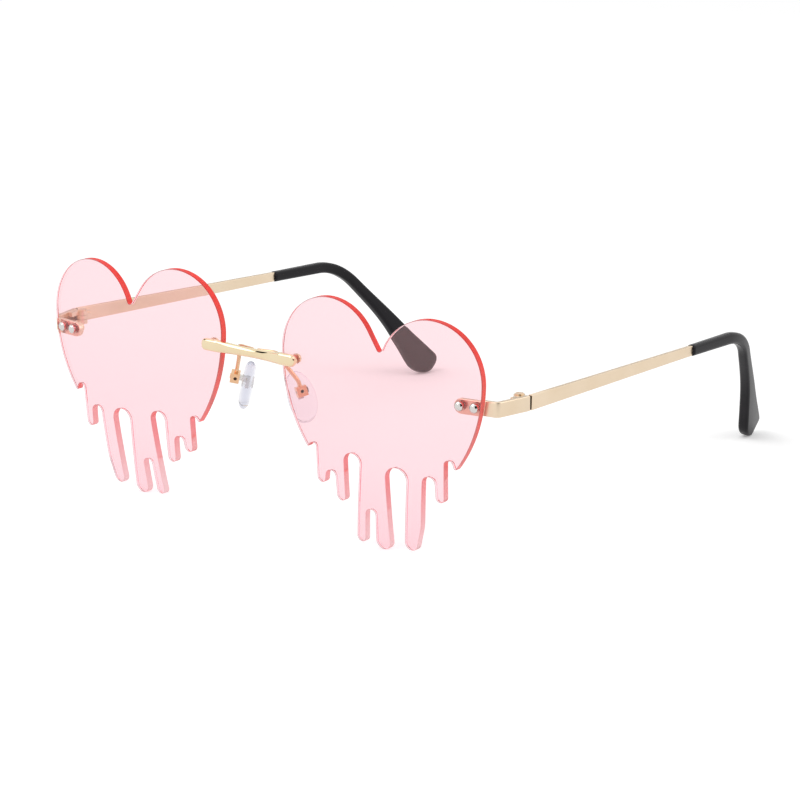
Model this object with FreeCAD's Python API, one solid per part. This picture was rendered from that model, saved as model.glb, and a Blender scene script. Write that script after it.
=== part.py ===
# Rimless sunglasses with heart shaped lenses whose lower edge runs down in drips.
# A metal bridge, nose pads on wire arms, end pieces, three-barrel hinges and flat temples.
# Millimetres. The front faces -Y, the temples run to +Y, +Z is up, +X is the wearer's left.
import FreeCAD
import Part
import math
import os

V = FreeCAD.Vector
Rot = FreeCAD.Rotation
Place = FreeCAD.Placement
X_AXIS = V(1, 0, 0)
Y_AXIS = V(0, 1, 0)
Z_AXIS = V(0, 0, 1)

# Lenses: a spherical sheet, each one turned a little round the face
lens_wide = 54.4
lens_thick = 1.7
lens_radius = 240.0
lens_gap = 18.0
wrap_deg = 2.4

# Heart outline as shares of the lens width, from the lens centre on the hardware line.
# Each lobe, drip, bulging flank and notch is a circle: across, up, radius.
cusp_shares = (0.016, 0.192, 0.012)
outer_lobe_shares = (0.255, 0.096)
inner_lobe_shares = (-0.250, 0.118)
outer_side_share = 0.596
inner_side_share = 0.668
outer_tooth_shares = (-0.255, 0.008)
inner_tooth_shares = (-0.276, 0.006)
drip_shares = (
    ("notch", 0.345, -0.248, 0.019),
    ("drip", 0.299, -0.395, 0.021),
    ("notch", 0.248, -0.342, 0.029),
    ("flank", 0.058, -0.526, 0.147),
    ("drip", 0.145, -0.621, 0.031),
    ("notch", 0.090, -0.351, 0.051),
    ("drip", 0.005, -0.636, 0.036),
    ("notch", -0.048, -0.528, 0.024),
    ("drip", -0.106, -0.636, 0.022),
    ("notch", -0.131, -0.314, 0.040),
    ("drip", -0.196, -0.469, 0.023),
    ("notch", -0.246, -0.393, 0.025),
    ("drip", -0.297, -0.406, 0.023),
    ("notch", -0.336, -0.279, 0.017),
)
deepest_share = max(d[3] - d[2] for d in drip_shares if d[0] == "drip")

# Screws, bushings and nuts that hold the metal to the lenses
screw_radius = 0.55
bushing_wall = 0.3
thread_fit = 0.01
bushing_fit = 0.02
head_radius = 1.05
head_high = 0.55
head_slot_wide = 0.25
head_slot_deep = 0.18
flange_radius = 1.25
flange_thick = 0.3
nut_radius = 1.05
nut_high = 0.9

# End pieces: a flat strip behind the lens, bent back to the hinge
ear_inset = 3.9
ear_rise = 0.45
ear_pitch = 3.7
ear_margin = 1.8
strip_thick = 1.2
strip_high = 3.2
strip_drop = 0.3
ear_reach = 8.4
strip_bend = 1.5
strip_back = 8.8

# Hinges: two barrels in front, one behind, and a slotted screw
joint_gap = 0.2
pivot_inset = 2.4
pivot_ahead = 0.35
barrel_radius = 1.3
barrel_high = 1.02
barrel_gap = 0.06
pin_radius = 0.6
pin_fit = 0.03
pin_head_radius = 1.0
pin_head_high = 0.3
pin_foot = 0.25
leaf_thick = 0.35
leaf_long = 3.4
leaf_start = 0.5

# Temples
temple_in_deg = 2.5
temple_down_deg = 2.3
temple_thick = 1.1
temple_high_end = 2.3
sleeve_at = 70.4
core_long = 13.0
core_high = 1.4
core_fit = 0.02

# Temple tips: straight, then bent down and inwards, with a wide flat end that flares to the front
bend_at = 95.6
bend_radius = 16.6
leg_long = 43.518
leg_down_deg = 45.2
leg_in_deg = 21.7
tip_thick = 2.5
tip_wide = 8.0
tip_along_shares = (0.0, 0.10, 0.24, 0.35, 0.47, 0.60, 0.70, 0.82, 0.91, 0.96, 0.985, 1.0)
tip_front_shares = (0.165, 0.167, 0.17, 0.175, 0.175, 0.19, 0.225, 0.47, 0.63, 0.49, 0.31, 0.12)
tip_rear_shares = (0.165, 0.167, 0.17, 0.175, 0.18, 0.22, 0.26, 0.29, 0.345, 0.36, 0.34, 0.24)
tip_thick_shares = (0.92, 0.93, 0.96, 0.99, 1.02, 1.04, 1.06, 1.08, 1.08, 1.02, 0.86, 0.55)

# Bridge: a bar between the lenses that steps forward to a plate and a post on each lens
bridge_rise = 4.15
bridge_high = 2.2
bridge_deep = 2.1
bridge_set = 0.95
bridge_drop = 0.5
step_start = 2.2
step_forward = 0.3
post_inset = 3.2
plate_radius = 1.3
plate_front = 1.5
plate_lap = 0.3

# Nose pads, each one rocking in a small box on a wire arm
box_x = 10.2
box_back = 6.7
box_drop = 4.7
pad_turn_deg = 52.3
pad_lean_deg = 11.3
pad_splay_deg = 13.3
box_wide = 2.4
box_high = 2.4
box_ahead = 0.95
box_behind = 1.15
box_floor = 0.45
pocket_high = 1.65
tongue_thick = 0.9
tongue_end = 0.6
tongue_clear = 0.08
pad_pin_radius = 0.38
pad_pin_fit = 0.03
pad_pin_head = 0.68
pad_pin_head_high = 0.35
pad_gap = 1.6
pad_thick = 2.8
pad_wide = 7.2
pad_tall = 12.2
pad_below = 1.6
pad_round = 1.1
mount_wide = 1.3
mount_tall = 2.8
mount_thick = 0.5
arm_radius = 0.47
arm_root_x = 0.8
arm_root_rise = 0.85
arm_root_back = 0.85
arm_crest = (6.2, 2.9, 0.35)
arm_waist = (7.4, 4.9, 1.1)
arm_sink = 0.2
bend_share = 0.45

# Derived sizes, with the screws set in from the lens edges
lens_centre_x = (lens_gap + lens_wide) / 2
ear_offset = lens_wide / 2 - ear_inset
post_x = lens_gap / 2 + post_inset
line_z = deepest_share * lens_wide
hole_radius = screw_radius + bushing_fit + bushing_wall + bushing_fit
plate_depth = lens_thick + flange_thick
lens_centre = V(0, lens_radius, 0)


def circle_shares():
    """The outline's circles in order, clockwise from the dip between the lobes."""
    half = 1 / 2
    ou, ov = outer_lobe_shares
    iu, iv = inner_lobe_shares
    chain = [(cusp_shares[0], cusp_shares[1], cusp_shares[2], -1)]
    chain.append((ou, ov, half - ou, 1))
    side = half - outer_side_share
    chain.append((side, ov, outer_side_share, 1))
    tooth_v, tooth_r = outer_tooth_shares
    tooth_u = side + math.sqrt((outer_side_share - tooth_r) ** 2 - (ov - tooth_v) ** 2)
    chain.append((tooth_u, tooth_v, tooth_r, 1))
    for kind, u, v, r in drip_shares:
        chain.append((u, v, r, -1 if kind == "notch" else 1))
    side = inner_side_share - half
    tooth_v, tooth_r = inner_tooth_shares
    tooth_u = side - math.sqrt((inner_side_share - tooth_r) ** 2 - (iv - tooth_v) ** 2)
    chain.append((tooth_u, tooth_v, tooth_r, 1))
    chain.append((side, iv, inner_side_share, 1))
    chain.append((iu, iv, half + iu, 1))
    return chain


def straight_between(a, b):
    """Ends of the straight edge that leaves circle a and meets circle b, as shares."""
    du = b[0] - a[0]
    dv = b[1] - a[1]
    lean = (b[3] * b[2] - a[3] * a[2]) / math.hypot(du, dv)
    way = math.atan2(dv, du) + math.asin(max(-1, min(1, lean)))
    right = (math.sin(way), -math.cos(way))
    start = (a[0] - a[3] * a[2] * right[0], a[1] - a[3] * a[2] * right[1])
    end = (b[0] - b[3] * b[2] * right[0], b[1] - b[3] * b[2] * right[1])
    return start, end


def lens_spot(u, v):
    """A point of the lens plane from its shares."""
    return V(u * lens_wide, 0, v * lens_wide)


def heart_face():
    """The flat heart with its drips, in the lens plane."""
    chain = circle_shares()
    count = len(chain)
    lines = [straight_between(chain[i], chain[(i + 1) % count]) for i in range(count)]
    edges = []
    for i in range(count):
        u, v, r, turn = chain[i]
        start = lines[i - 1][1]
        end = lines[i][0]
        first = math.atan2(start[1] - v, start[0] - u)
        last = math.atan2(end[1] - v, end[0] - u)
        sweep = (turn * (first - last)) % (2 * math.pi)
        middle = first - turn * sweep / 2
        top = (u + r * math.cos(middle), v + r * math.sin(middle))
        edges.append(Part.Arc(lens_spot(*start), lens_spot(*top), lens_spot(*end)).toShape())
        far = lines[i][1]
        if math.hypot(far[0] - end[0], far[1] - end[1]) > cusp_shares[2] / 100:
            edges.append(Part.LineSegment(lens_spot(*end), lens_spot(*far)).toShape())
    return Part.Face(Part.Wire(Part.__sortEdges__(edges)))


def rod(radius, start, end, axis=Y_AXIS):
    """A round bar along an axis through the origin, from start to end."""
    return Part.makeCylinder(radius, end - start, axis * start, axis)


def block(x0, x1, y0, y1, z0, z1):
    """A box between its limits."""
    return Part.makeBox(x1 - x0, y1 - y0, z1 - z0, V(x0, y0, z0))


def dome(radius, high):
    """A low round cap that stands on the plane y = 0 and points to -Y."""
    ball = (radius ** 2 + high ** 2) / (2 * high)
    cap = Part.makeSphere(ball, V(0, ball - high, 0))
    return cap.common(rod(radius, -high, 0))


def oval(centre, long_way, short_way):
    """An oval ring from its centre and its two half widths."""
    if long_way.Length < short_way.Length:
        long_way, short_way = short_way, long_way
    return Part.Wire([Part.Ellipse(centre + long_way, centre + short_way, centre).toShape()])


def bent_line(spots):
    """Straight runs through the spots with a round bend at every inner one."""
    edges = []
    here = spots[0]
    for before, spot, after in zip(spots, spots[1:], spots[2:]):
        way_in = spot - before
        way_out = after - spot
        lead = bend_share * min(way_in.Length, way_out.Length)
        way_in = way_in.normalize()
        way_out = way_out.normalize()
        half = math.acos(way_in.dot(way_out)) / 2
        inward = (way_out - way_in).normalize()
        top = spot + inward * (lead / math.tan(half) * (1 / math.cos(half) - 1))
        start = spot - way_in * lead
        end = spot + way_out * lead
        edges.append(Part.LineSegment(here, start).toShape())
        edges.append(Part.Arc(start, top, end).toShape())
        here = end
    edges.append(Part.LineSegment(here, spots[-1]).toShape())
    return Part.Wire(edges)


def put(shape, place):
    """A copy of a shape at a placement."""
    out = shape.copy()
    out.Placement = place.multiply(out.Placement)
    return out


def shift(shape, x, y, z):
    """A copy of a shape moved by x, y, z."""
    out = shape.copy()
    out.translate(V(x, y, z))
    return out


def seat(u, v):
    """Frame on the front of the left lens: Y runs straight into the lens."""
    turn = math.degrees(math.asin(u / lens_radius))
    tip = math.degrees(math.asin(v / lens_radius))
    swing = Place(lens_centre, Rot(Z_AXIS, turn).multiply(Rot(X_AXIS, -tip)))
    return lens_frame.multiply(swing).multiply(Place(-lens_centre, Rot()))


lens_frame = Place(V(lens_centre_x, 0, line_z), Rot(Z_AXIS, wrap_deg))
ear = Place(V(0, 0, ear_rise), Rot()).multiply(seat(ear_offset, 0))
post_seat = seat(post_x - lens_centre_x, bridge_rise)
ear_spots = (-ear_pitch / 2, ear_pitch / 2)

# Lens with its three holes
ball_front = put(Part.makeSphere(lens_radius, lens_centre), lens_frame)
ball_rear = put(Part.makeSphere(lens_radius - lens_thick, lens_centre), lens_frame)
lens_reach = lens_wide / 4
heart = heart_face()
heart.translate(V(0, -lens_reach, 0))
lens_core = put(heart.extrude(Y_AXIS * (2 * lens_reach)), lens_frame).common(ball_front)
lens = lens_core.cut(ball_rear)
for x in ear_spots:
    lens = lens.cut(put(shift(rod(hole_radius, -lens_thick, 2 * lens_thick), x, 0, 0), ear))
lens = lens.cut(put(rod(hole_radius, -lens_thick, 2 * lens_thick), post_seat))


def lens_bushing():
    """Plastic sleeve in a lens hole, with a flange behind the lens."""
    outside = hole_radius - bushing_fit
    body = rod(outside, thread_fit, plate_depth)
    body = body.fuse(rod(flange_radius, lens_thick / 2, plate_depth))
    return body.cut(rod(screw_radius + bushing_fit, -lens_thick, 2 * plate_depth))


def lens_nut(depth):
    """Round nut behind the metal, open at the back."""
    body = rod(nut_radius, depth, depth + nut_high)
    return body.cut(rod(screw_radius + thread_fit, 0, depth + 2 * nut_high))


def lens_screw(depth):
    """Screw with a low domed head on the front of the lens."""
    return dome(head_radius, head_high).fuse(rod(screw_radius, 0, depth + nut_high)).removeSplitter()


ear_depth = plate_depth + strip_thick
bushings = [put(shift(lens_bushing(), x, 0, 0), ear).cut(lens) for x in ear_spots]
nuts = [put(shift(lens_nut(ear_depth), x, 0, 0), ear) for x in ear_spots]
screws = [put(shift(lens_screw(ear_depth), x, 0, 0), ear) for x in ear_spots]

# End piece: a strip of one thickness, bent once, with a round inner end and two holes
middle_y = plate_depth + strip_thick / 2
inner_end = ear.multVec(V(-ear_pitch / 2 - ear_margin, middle_y, 0))
corner = ear.multVec(V(ear_reach, middle_y, 0))
joint_y = corner.y + strip_back
hinge_z = ear.multVec(V(0, 0, -strip_drop)).z


def strip_face(first, bend, last, radius, thick):
    """Plan of a strip that runs from first to last with one round bend."""
    way_in = V(bend.x - first.x, bend.y - first.y, 0).normalize()
    way_out = V(last.x - bend.x, last.y - bend.y, 0).normalize()
    angle = math.acos(way_in.dot(way_out))
    lead = radius * math.tan(angle / 2)
    left_in = V(-way_in.y, way_in.x, 0)
    left_out = V(-way_out.y, way_out.x, 0)
    a = V(first.x, first.y, 0)
    b = V(bend.x, bend.y, 0) - way_in * lead
    c = V(bend.x, bend.y, 0) + way_out * lead
    d = V(last.x, last.y, 0)
    centre = b + left_in * radius
    half_way = (b + c - centre * 2).normalize()
    edges = []
    for side in (thick / 2, -thick / 2):
        p = [a + left_in * side, b + left_in * side, c + left_out * side, d + left_out * side]
        top = centre + half_way * (radius - side)
        edges.append(Part.LineSegment(p[0], p[1]).toShape())
        edges.append(Part.Arc(p[1], top, p[2]).toShape())
        edges.append(Part.LineSegment(p[2], p[3]).toShape())
    near, far = thick / 2, -thick / 2
    edges.append(Part.LineSegment(a + left_in * near, a + left_in * far).toShape())
    edges.append(Part.LineSegment(d + left_out * near, d + left_out * far).toShape())
    return Part.Face(Part.Wire(Part.__sortEdges__(edges)))


strip_end = V(corner.x, joint_y - joint_gap / 2, 0)
strip = strip_face(inner_end, corner, strip_end, strip_bend, strip_thick)
strip.translate(V(0, 0, hinge_z - strip_high / 2))
end_piece = strip.extrude(Z_AXIS * strip_high)
round_x = -ear_pitch / 2 - ear_margin + strip_high / 2
keep = rod(strip_high / 2, -strip_back, strip_back)
keep = keep.fuse(block(0, ear_reach + 2 * strip_back, -strip_back, 2 * strip_back, -strip_high, strip_high))
end_piece = end_piece.common(put(shift(keep, round_x, 0, -strip_drop), ear))
for x in ear_spots:
    end_piece = end_piece.cut(put(shift(rod(screw_radius + bushing_fit, 0, 2 * ear_depth), x, 0, 0), ear))

# Hinge barrels, leaves and screw, round one upright axis inside the strip
pivot = V(corner.x - pivot_inset, joint_y - pivot_ahead, hinge_z)
stack = 3 * barrel_high + 2 * barrel_gap
inner_x = corner.x - strip_thick / 2
barrel_lows = [hinge_z - stack / 2 + i * (barrel_high + barrel_gap) for i in range(3)]
pin_hole = shift(rod(pin_radius + pin_fit, -stack, stack, Z_AXIS), pivot.x, pivot.y, hinge_z)
pin_tight = shift(rod(pin_radius + thread_fit, -stack, stack, Z_AXIS), pivot.x, pivot.y, hinge_z)


def barrel(low, ahead):
    """One barrel with the web that joins it to its leaf, ahead of or behind the axis."""
    body = shift(rod(barrel_radius, 0, barrel_high, Z_AXIS), pivot.x, pivot.y, low)
    y0 = pivot.y - leaf_long if ahead else pivot.y
    y1 = pivot.y if ahead else pivot.y + leaf_long
    web = block(pivot.x, inner_x - leaf_thick / 2, y0, y1, low, low + barrel_high)
    return body.fuse(web)


leaf_y = joint_y - joint_gap / 2 - leaf_start
leaf_front = block(inner_x - leaf_thick, inner_x, leaf_y - leaf_long, leaf_y,
                   hinge_z - strip_high / 2, hinge_z + strip_high / 2)
hinge_front = leaf_front
for low in (barrel_lows[0], barrel_lows[2]):
    hinge_front = hinge_front.fuse(barrel(low, True))
hinge_front = hinge_front.cut(pin_tight).removeSplitter()

temple_turn = Rot(Z_AXIS, temple_in_deg).multiply(Rot(X_AXIS, -temple_down_deg))
temple_frame = Place(V(corner.x, joint_y, hinge_z), temple_turn)
temple_inner = strip_thick / 2 - temple_thick
leaf_from = joint_gap / 2 + leaf_start
leaf_half = strip_high / 2 - leaf_thick
leaf_rear = block(temple_inner - leaf_thick, temple_inner, leaf_from, leaf_from + leaf_long,
                  -leaf_half, leaf_half)
hinge_rear = put(leaf_rear, temple_frame)

pin_top = barrel_lows[2] + barrel_high
hinge_screw = rod(pin_radius, barrel_lows[0] - pin_foot, pin_top, Z_AXIS)
pin_head = rod(pin_head_radius, pin_top, pin_top + pin_head_high, Z_AXIS)
pin_head = pin_head.cut(block(-pin_head_radius, pin_head_radius, -head_slot_wide / 2, head_slot_wide / 2,
                              pin_top + pin_head_high - head_slot_deep, pin_top + 2 * pin_head_high))
hinge_screw = shift(hinge_screw.fuse(pin_head).removeSplitter(), pivot.x, pivot.y, 0)


def ring(half_x, half_z, y):
    """A rectangle across the temple at a distance along it, outer face in line with the strip."""
    outer = strip_thick / 2
    inner = outer - 2 * half_x
    spots = [V(inner, y, -half_z), V(outer, y, -half_z), V(outer, y, half_z), V(inner, y, half_z)]
    return Part.makePolygon(spots + spots[:1])


# Temple bar, tapering to the sleeve, with its core inside the sleeve
core_x = strip_thick / 2 - temple_thick / 2
bar = Part.makeLoft([ring(temple_thick / 2, strip_high / 2, joint_gap / 2),
                     ring(temple_thick / 2, temple_high_end / 2, sleeve_at)], True, True)
core = block(core_x - temple_thick / 2, core_x + temple_thick / 2, sleeve_at, sleeve_at + core_long,
             -core_high / 2, core_high / 2)
temple = put(bar.fuse(core), temple_frame)

web_rear = barrel(barrel_lows[1], False).cut(put(bar, temple_frame))
hinge_rear = hinge_rear.fuse(web_rear).cut(pin_hole).removeSplitter()

# Temple tip: rings along a line that bends down and in, with a wide flat end
leg = V(-math.sin(math.radians(leg_in_deg)) * math.cos(math.radians(leg_down_deg)),
        math.cos(math.radians(leg_in_deg)) * math.cos(math.radians(leg_down_deg)),
        -math.sin(math.radians(leg_down_deg)))
bend_angle = math.acos(leg.dot(Y_AXIS))
bend_lead = bend_radius * math.tan(bend_angle / 2)
run = bend_at - bend_lead - sleeve_at
arc_long = bend_radius * bend_angle
tip_long = run + arc_long + leg_long - bend_lead
bend_start = V(core_x, bend_at - bend_lead, 0)
bend_in = (leg - Y_AXIS * leg.dot(Y_AXIS)).normalize()
bend_centre = bend_start + bend_in * bend_radius
bend_end = V(core_x, bend_at, 0) + leg * bend_lead


def tip_point(s):
    """Point and direction at a length along the tip."""
    if s <= run:
        return V(core_x, sleeve_at + s, 0), Y_AXIS
    if s <= run + arc_long:
        a = (s - run) / bend_radius
        out = bend_centre - bend_in * (bend_radius * math.cos(a)) + Y_AXIS * (bend_radius * math.sin(a))
        return out, (Y_AXIS * math.cos(a) + bend_in * math.sin(a)).normalize()
    return bend_end + leg * (s - run - arc_long), leg


def tip_ring(share, front, rear, thick):
    """An oval across the tip: so far to its front, so far to its rear, and thin from side to side."""
    spot, way = tip_point(share * tip_long)
    side = (X_AXIS - way * X_AXIS.dot(way)).normalize()
    tall = side.cross(way).normalize()
    return oval(spot + tall * ((rear - front) / 2), tall * ((rear + front) / 2), side * (thick / 2))


rings = []
for along, front, rear, thick in zip(tip_along_shares, tip_front_shares, tip_rear_shares, tip_thick_shares):
    rings.append(tip_ring(along, front * tip_wide, rear * tip_wide, thick * tip_thick))
tip = Part.makeLoft(rings, True, False)
socket_half = temple_thick / 2 + core_fit
socket_rise = core_high / 2 + core_fit
socket = block(core_x - socket_half, core_x + socket_half, sleeve_at - core_long,
               sleeve_at + core_long + core_fit, -socket_rise, socket_rise)
temple_tip = put(tip.cut(socket), temple_frame)

# Bridge: an oval bar, stepped forward at each end into a plate with a round end
bridge_z = line_z + bridge_rise
edge_x = lens_gap / 2
bar_z = bridge_z - bridge_drop
bar_spots = [V(0, bridge_set, bar_z)]
bar_spots.append(V(edge_x - step_start, bridge_set, bar_z))
bar_spots.append(V(edge_x, -step_forward, bridge_z))
bar_spots.append(V(post_x, -step_forward, bridge_z))
bar_ring = oval(bar_spots[0], Z_AXIS * (bridge_high / 2), Y_AXIS * (bridge_deep / 2))
bar_half = bent_line(bar_spots).makePipeShell([bar_ring], True)
plate = block(edge_x - plate_lap, post_x, -plate_front, bridge_set,
              bridge_z - plate_radius, bridge_z + plate_radius)
plate = plate.fuse(shift(rod(plate_radius, -plate_front, bridge_set), post_x, 0, bridge_z))
bar_half = bar_half.fuse(plate).cut(lens_core)
post_depth = plate_depth + nut_high
post = put(rod(screw_radius, -plate_front / 2, post_depth), post_seat)
bar_half = bar_half.fuse(post)
bridge = bar_half.fuse(bar_half.mirror(V(0, 0, 0), X_AXIS)).removeSplitter()
bridge_bushing = put(lens_bushing(), post_seat).cut(lens)
bridge_nut = put(lens_nut(plate_depth), post_seat)

# Nose pad, its metal mount, the box it rocks in and the screw through both
pad_turn = Rot(Z_AXIS, pad_turn_deg).multiply(Rot(X_AXIS, -pad_lean_deg))
pad_turn = pad_turn.multiply(Rot(Y_AXIS, -pad_splay_deg))
pad_frame = Place(V(box_x, box_back, line_z - box_drop), pad_turn)
slot = tongue_thick / 2 + tongue_clear
box_outer = block(-box_wide / 2, box_wide / 2, -box_behind, box_ahead, -box_high / 2, box_high / 2)
box_inner = block(-slot, slot, box_floor - box_behind, 2 * box_ahead, -pocket_high / 2, pocket_high / 2)
pad_box = box_outer.cut(box_inner).cut(rod(pad_pin_radius + thread_fit, -box_wide, box_wide, X_AXIS))
pad_screw = rod(pad_pin_radius, -box_wide / 2, box_wide / 2, X_AXIS)
pad_screw = pad_screw.fuse(rod(pad_pin_head, box_wide / 2, box_wide / 2 + pad_pin_head_high, X_AXIS))
slot_floor = box_wide / 2 + pad_pin_head_high - head_slot_deep
pad_screw = pad_screw.cut(block(slot_floor, slot_floor + pad_pin_head_high, -head_slot_wide / 2,
                                head_slot_wide / 2, -pad_pin_head, pad_pin_head))
pad_middle = pad_gap + pad_thick / 2
tongue = rod(tongue_end, -tongue_thick / 2, tongue_thick / 2, X_AXIS)
tongue = tongue.fuse(block(-tongue_thick / 2, tongue_thick / 2, 0, pad_middle, -tongue_end, tongue_end))
mount_from = pad_middle - mount_thick / 2
mount_plate = block(-mount_wide / 2, mount_wide / 2, mount_from, mount_from + mount_thick,
                    -tongue_end - mount_tall / 2, tongue_end)
pad_mount = tongue.fuse(mount_plate).cut(rod(pad_pin_radius + pad_pin_fit, -box_wide, box_wide, X_AXIS))
pad_mount = pad_mount.removeSplitter()
pad_ring = oval(V(0, pad_gap, -pad_below), Z_AXIS * (pad_tall / 2), X_AXIS * (pad_wide / 2))
pad = Part.Face(pad_ring).extrude(Y_AXIS * pad_thick)
pad_rims = [e for e in pad.Edges if e.BoundBox.YLength < pad_thick / 100]
pad = pad.makeFillet(pad_round, pad_rims).cut(pad_mount)

# Wire arm from the back of the bridge to the back of the box
box_top = pad_frame.multVec(V(0, 0, box_high / 2 - arm_sink))
box_lead = pad_frame.multVec(V(0, 0, box_high))
arm_root = V(arm_root_x, bridge_set + arm_root_back, bar_z + arm_root_rise)
arm_spots = [arm_root]
arm_spots.append(V(arm_crest[0], arm_crest[1], bridge_z + arm_crest[2]))
arm_spots.append(V(arm_waist[0], arm_waist[1], line_z + arm_waist[2]))
arm_spots.append(box_lead)
arm_spots.append(box_top)
arm_ring = Part.Wire([Part.Circle(arm_root, arm_spots[1] - arm_root, arm_radius).toShape()])
arm = bent_line(arm_spots).makePipeShell([arm_ring], True)
arm = arm.cut(bridge)
pad_box = put(pad_box, pad_frame)
arm = arm.cut(pad_box)
arm = max(arm.Solids, key=lambda s: s.Volume)

# The origin is on the floor under the middle of the glasses
back_y = temple_tip.optimalBoundingBox(False).YMax
middle = (back_y - plate_front) / 2
os.makedirs("parts", exist_ok=True)


def save(name, solids):
    """Write the solids of one node, moved to the middle."""
    solids = [shift(solid, 0, -middle, 0) for solid in solids]
    shape = solids[0] if len(solids) == 1 else Part.makeCompound(solids)
    shape.exportStep("parts/" + name + ".step")


save("bridge", bridge.Solids)
pairs = {
    "lens": [lens],
    "lens_bushing": bushings,
    "lens_screw": screws,
    "lens_nut": nuts,
    "bridge_bushing": [bridge_bushing],
    "bridge_nut": [bridge_nut],
    "end_piece": [end_piece],
    "hinge_front": [hinge_front],
    "hinge_rear": [hinge_rear],
    "hinge_screw": [hinge_screw],
    "temple": [temple],
    "temple_tip": [temple_tip],
    "nose_arm": [arm],
    "pad_box": [pad_box],
    "pad_screw": [put(pad_screw, pad_frame)],
    "pad_mount": [put(pad_mount, pad_frame)],
    "nose_pad": [put(pad, pad_frame)],
}
for name, shapes in pairs.items():
    solids = [s for shape in shapes for s in shape.Solids]
    save(name + "_left", solids)
    save(name + "_right", [s.mirror(V(0, 0, 0), X_AXIS) for s in solids])
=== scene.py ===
"""Rimless sunglasses with heart shaped lenses whose lower edge runs down in drips.

Sizes are millimetres, from the middle of the front, and become metres in the finished pieces.
The front faces -Y, the temples run to +Y, +Z is up and +X is the wearer's left.
"""
import math

import bmesh
import bpy
import numpy as np
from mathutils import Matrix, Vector
from mathutils.geometry import delaunay_2d_cdt


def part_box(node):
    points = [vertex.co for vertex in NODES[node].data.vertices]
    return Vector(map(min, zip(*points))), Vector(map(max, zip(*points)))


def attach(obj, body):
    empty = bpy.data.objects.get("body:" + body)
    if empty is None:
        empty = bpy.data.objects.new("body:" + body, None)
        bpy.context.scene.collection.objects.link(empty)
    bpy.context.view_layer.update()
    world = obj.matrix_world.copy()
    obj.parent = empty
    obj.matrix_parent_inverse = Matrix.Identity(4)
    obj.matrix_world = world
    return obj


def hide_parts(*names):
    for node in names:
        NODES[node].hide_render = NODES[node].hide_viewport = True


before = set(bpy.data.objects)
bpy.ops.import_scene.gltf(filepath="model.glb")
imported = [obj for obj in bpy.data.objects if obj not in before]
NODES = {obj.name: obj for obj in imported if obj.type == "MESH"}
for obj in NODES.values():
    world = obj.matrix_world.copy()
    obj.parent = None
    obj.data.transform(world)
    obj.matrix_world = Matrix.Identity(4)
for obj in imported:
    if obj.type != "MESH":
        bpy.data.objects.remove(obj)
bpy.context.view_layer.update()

MM = 0.001
SIDES = {"left": 1, "right": -1}

# Lens sheet and its place on the front
LENS_WIDE = 54.4
LENS_THICK = 1.7
LENS_BALL = 240.0
LENS_X = 36.2
LENS_WRAP = 2.4
LENS_BEVEL, BEVEL_ROUND_SHARE = 0.16, 0.293
# Belt of circles round the heart as shares of the lens width: across, up, radius, +1 round outside.
# A lobe gives across and up, a side its radius, and a tooth, where a side meets the drips, up and radius.
HALF_SHARE = 0.5
CUSP = (0.016, 0.192, 0.012)
OUTER_LOBE = (0.255, 0.096)
INNER_LOBE = (-0.250, 0.118)
OUTER_SIDE = 0.596
INNER_SIDE = 0.668
OUTER_TOOTH = (-0.255, 0.008)
INNER_TOOTH = (-0.276, 0.006)
DRIPS = (
    (0.345, -0.248, 0.019, -1),
    (0.299, -0.395, 0.021, 1),
    (0.248, -0.342, 0.029, -1),
    (-0.060, -0.490, 0.265, 1),
    (0.145, -0.621, 0.031, 1),
    (0.090, -0.351, 0.051, -1),
    (0.005, -0.6359, 0.036, 1),
    (-0.048, -0.528, 0.024, -1),
    (-0.106, -0.636, 0.022, 1),
    (-0.131, -0.314, 0.040, -1),
    (-0.196, -0.469, 0.023, 1),
    (-0.246, -0.393, 0.025, -1),
    (-0.297, -0.406, 0.023, 1),
    (-0.336, -0.279, 0.017, -1),
)
LINE_SHARE = 0.672
LINE_Z = LINE_SHARE * LENS_WIDE
# Fineness of the lens mesh: along arcs (degrees) and straights, and the grid that fills the faces
ARC_STEP, LEAST_TURN, MOST_TURN, RUN_STEP = 0.35, 2, 12, 1.5
GRID_ACROSS, GRID_UP, GRID_STEP = (-28, 28), (-38, 22), 1.6
GRID_FROM_RIM, GRID_FROM_HOLE, HOLE_POINTS = 0.7, 0.6, 28
SAME_POINT, SAME_FLAT = 0.004, 1e-5

# Screws, nuts and holes in the lenses
EAR_U, EAR_RISE, EAR_PITCH = 23.3, 0.45, 3.7
EAR_PAIR = (-EAR_PITCH / 2, EAR_PITCH / 2)
POST_U, POST_RISE, POST_SUNK = -24.0, 4.15, 0.4
HOLE = 0.89
SHANK, SHANK_CHAMFER = 0.55, 0.12
HEAD, HEAD_HIGH, HEAD_EDGE = 1.05, 0.55, 0.06
DOME_START, DOME_SHARE, DOME_STEPS = 0.03, 0.97, 9
NUT, NUT_HIGH, NUT_SOFT, NUT_ROUND_SHARE, NUT_PLAY = 1.05, 0.9, 0.14, 0.3, 0.01
PLATE_DEPTH = 2.0

# End piece: a strip from behind the lens to the hinge joint
STRIP, STRIP_HALF, STRIP_CORNER = 1.2, 1.72, 0.22
EAR_START, EAR_CORNER, JOINT_HALF = -3.65, 65.45, 0.26
EAR_BEND_SHARE, EAR_BEND_STEPS = 0.075, 12
# Rows along its round end
EAR_ROUND_AT = (0.004, 0.03, 0.12, 0.3, 0.55, 0.85, 1.2, 1.6)
# Largest corner of a ring as a share of its half size
CORNER_SHARE = 0.9
# Rounded joint ends: how far along, and how much the ring shrinks there
SOFT_AT, SOFT_IN = (0.0, 0.04, 0.12), (0.12, 0.04, 0.0)

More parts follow.
